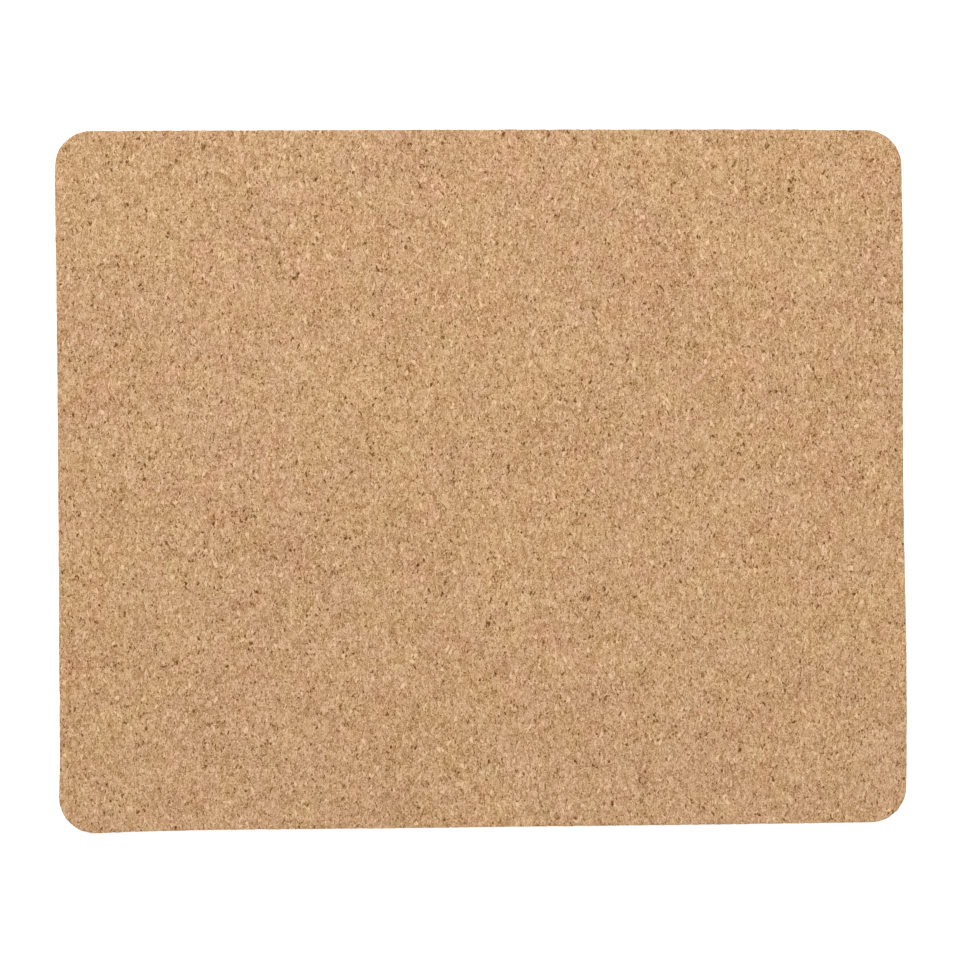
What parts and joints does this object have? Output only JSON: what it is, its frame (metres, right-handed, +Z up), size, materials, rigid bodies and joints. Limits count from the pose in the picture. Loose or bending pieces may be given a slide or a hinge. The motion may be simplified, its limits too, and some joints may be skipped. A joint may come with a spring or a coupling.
{
  "type": "cork desk mat",
  "caption": "Flat rectangular desk mat with round corners: a fine-grained cork top bonded to a thin non-slip rubber base.",
  "frame": {"origin": "middle of the flat underside, on the surface that the mat lies on", "axes": "+X along the long side, +Y along the short side, +Z up out of the cork face"},
  "size_m": [0.23, 0.19, 0.003],
  "materials": {
    "cork": "matt fine-grained agglomerated cork, sanded, without varnish",
    "adhesive": "dull amber film, seen only as a line round the cut edge",
    "base_rubber": "dark grey matt rubber, embossed underneath"
  },
  "bodies": {
    "root": {"cork_sheet": "cork", "adhesive_film": "adhesive", "rubber_base": "base_rubber"}
  },
  "joints": []
}
